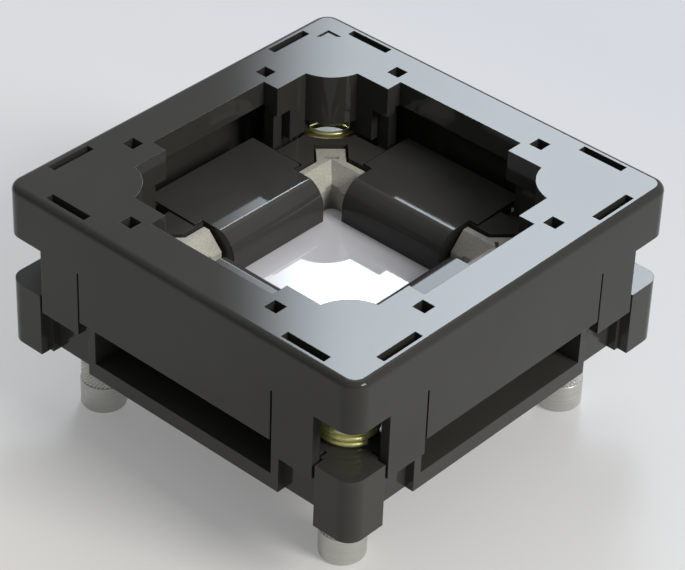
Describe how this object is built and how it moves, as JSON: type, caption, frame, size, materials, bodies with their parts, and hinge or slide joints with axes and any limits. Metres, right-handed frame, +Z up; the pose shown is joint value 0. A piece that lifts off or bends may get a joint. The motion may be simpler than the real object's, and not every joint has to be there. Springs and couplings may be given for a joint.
{
  "type": "burn-in test socket",
  "caption": "Square open-top test socket: a sprung frame-shaped cover slides down on its base and swings side latches off the chip held between beige corner guides.",
  "frame": {"origin": "centre of the base's flat underside, the plane that faces the burn-in board", "axes": "+Z up out of the board, +X east and +Y north along the sides; pin one is at the north-west corner"},
  "size_m": [0.0374, 0.0374, 0.0219],
  "materials": {
    "cover_plastic": "smooth moulded, soft sheen",
    "base_plastic": "moulded satin",
    "latch_plastic": "smooth moulded",
    "insulator_plastic": "moulded satin",
    "guide_plastic": "fine grained",
    "device_top": "polished",
    "contact_metal": "gold plated",
    "spring_metal": "bright wire",
    "mount_pin_steel": "turned",
    "hinge_steel": "ground"
  },
  "bodies": {
    "base": {"base": "base_plastic", "contact_block": "insulator_plastic", "contacts": "contact_metal", "seating_plate": "guide_plastic", "device": "device_top", "mount_pin_ne": "mount_pin_steel", "mount_pin_nw": "mount_pin_steel", "mount_pin_sw": "mount_pin_steel", "mount_pin_se": "mount_pin_steel", "hinge_pin_east": "hinge_steel", "hinge_pin_north": "hinge_steel", "hinge_pin_west": "hinge_steel", "hinge_pin_south": "hinge_steel", "spring_ne": "spring_metal", "spring_nw": "spring_metal", "spring_sw": "spring_metal", "spring_se": "spring_metal"},
    "cover": {"cover": "cover_plastic"},
    "latch_east": {"latch_east": "latch_plastic"},
    "latch_north": {"latch_north": "latch_plastic"},
    "latch_west": {"latch_west": "latch_plastic"},
    "latch_south": {"latch_south": "latch_plastic"}
  },
  "joints": [
    {"name": "cover_slide", "type": "slide", "parent": "base", "child": "cover", "axis": [0, 0, -1], "range_m": [0, 0.0026], "stiffness_N_per_m": 2900, "springref_m": -0.003, "deforming": ["spring_ne", "spring_nw", "spring_sw", "spring_se"]},
    {"name": "latch_east_hinge", "type": "hinge", "parent": "base", "child": "latch_east", "pos_m": [0.0098, 0, 0.0043], "axis": [0, 1, 0], "range_deg": [0, 38]},
    {"name": "latch_north_hinge", "type": "hinge", "parent": "base", "child": "latch_north", "pos_m": [0, 0.0098, 0.0043], "axis": [-1, 0, 0], "range_deg": [0, 38]},
    {"name": "latch_west_hinge", "type": "hinge", "parent": "base", "child": "latch_west", "pos_m": [-0.0098, 0, 0.0043], "axis": [0, -1, 0], "range_deg": [0, 38]},
    {"name": "latch_south_hinge", "type": "hinge", "parent": "base", "child": "latch_south", "pos_m": [0, -0.0098, 0.0043], "axis": [1, 0, 0], "range_deg": [0, 38]}
  ],
  "couplings": [
    {"joint": "latch_east_hinge", "follows": "cover_slide", "rad_per_m": 255},
    {"joint": "latch_north_hinge", "follows": "cover_slide", "rad_per_m": 255},
    {"joint": "latch_west_hinge", "follows": "cover_slide", "rad_per_m": 255},
    {"joint": "latch_south_hinge", "follows": "cover_slide", "rad_per_m": 255}
  ]
}
